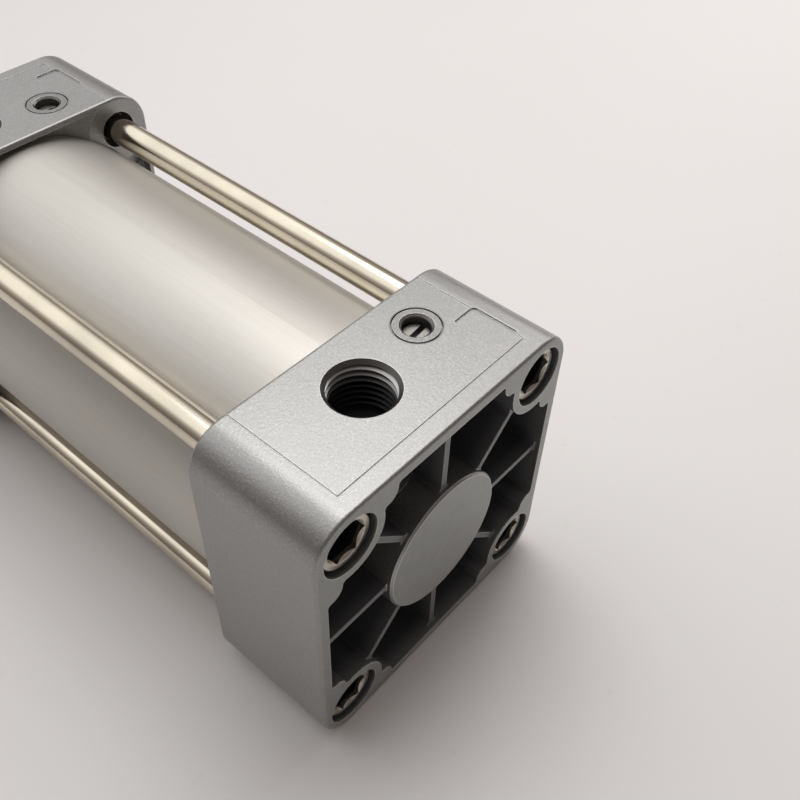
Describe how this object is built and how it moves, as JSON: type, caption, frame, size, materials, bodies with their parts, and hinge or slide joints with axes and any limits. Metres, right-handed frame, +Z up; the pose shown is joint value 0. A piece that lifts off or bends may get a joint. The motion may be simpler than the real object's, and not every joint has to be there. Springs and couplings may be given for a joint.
{
  "type": "pneumatic cylinder",
  "caption": "Tie-rod pneumatic cylinder: square ribbed end covers around a round barrel, air ports and cushion screws on top, threaded piston rod with lock nut.",
  "frame": {"origin": "centre of the rear cover's mounting face, on the cylinder's axis", "axes": "+X along the cylinder's axis towards the rod end, +Z up through the air ports and cushion screws, +Y to the port's side of the cover"},
  "size_m": [0.2, 0.062, 0.062],
  "materials": {
    "cover_casting": "die-cast, fine blasted silver grey",
    "barrel_anodised": "satin anodised",
    "tie_rod_steel": "bright nickel plated",
    "plated_nut": "nickel plated",
    "collar_steel": "turned",
    "needle_steel": "turned",
    "rod_chrome": "hard chrome plated, ground",
    "piston_aluminium": "turned",
    "bush_bronze": "sintered bronze",
    "wear_ring_plastic": "filled slide plastic",
    "seal_rubber": "moulded nitrile"
  },
  "bodies": {
    "housing": {"rear_cover": "cover_casting", "front_cover": "cover_casting", "barrel_tube": "barrel_anodised", "tie_rods": "tie_rod_steel", "rear_tie_rod_nuts": "plated_nut", "front_tie_rod_nuts": "plated_nut", "rear_barrel_seal": "seal_rubber", "front_barrel_seal": "seal_rubber", "rear_cushion_seal": "seal_rubber", "front_cushion_seal": "seal_rubber", "rod_bush": "bush_bronze", "rod_seal": "seal_rubber", "rod_wiper": "seal_rubber", "rear_needle_collar": "collar_steel", "front_needle_collar": "collar_steel"},
    "piston_seals": {"piston_wear_ring": "wear_ring_plastic", "piston_seal_rear": "seal_rubber", "piston_seal_front": "seal_rubber"},
    "rod": {"piston_rod": "rod_chrome", "rod_nut": "plated_nut", "piston": "piston_aluminium", "piston_o_ring": "seal_rubber", "rear_cushion_sleeve": "collar_steel", "front_cushion_sleeve": "collar_steel", "piston_nut": "plated_nut"},
    "rear_needle_ring": {"rear_needle_o_ring": "seal_rubber"},
    "rear_needle": {"rear_cushion_needle": "needle_steel"},
    "front_needle_ring": {"front_needle_o_ring": "seal_rubber"},
    "front_needle": {"front_cushion_needle": "needle_steel"}
  },
  "joints": [
    {"name": "rod_slide", "type": "slide", "parent": "housing", "child": "piston_seals", "axis": [1, 0, 0], "range_m": [0, 0.05]},
    {"name": "rod_spin", "type": "hinge", "parent": "piston_seals", "child": "rod", "pos_m": [0, 0, 0], "axis": [1, 0, 0], "continuous": true},
    {"name": "rear_needle_lift", "type": "slide", "parent": "housing", "child": "rear_needle_ring", "axis": [0, 0, 1], "range_m": [-0.0005, 0.001]},
    {"name": "rear_needle_turn", "type": "hinge", "parent": "rear_needle_ring", "child": "rear_needle", "pos_m": [0.0188, -0.0127, 0.02], "axis": [0, 0, 1], "range_deg": [-360, 720]},
    {"name": "front_needle_lift", "type": "slide", "parent": "housing", "child": "front_needle_ring", "axis": [0, 0, 1], "range_m": [-0.0005, 0.001]},
    {"name": "front_needle_turn", "type": "hinge", "parent": "front_needle_ring", "child": "front_needle", "pos_m": [0.1242, -0.0127, 0.02], "axis": [0, 0, 1], "range_deg": [-360, 720]}
  ],
  "couplings": [
    {"joint": "rear_needle_turn", "follows": "rear_needle_lift", "rad_per_m": 12566},
    {"joint": "front_needle_turn", "follows": "front_needle_lift", "rad_per_m": 12566}
  ]
}
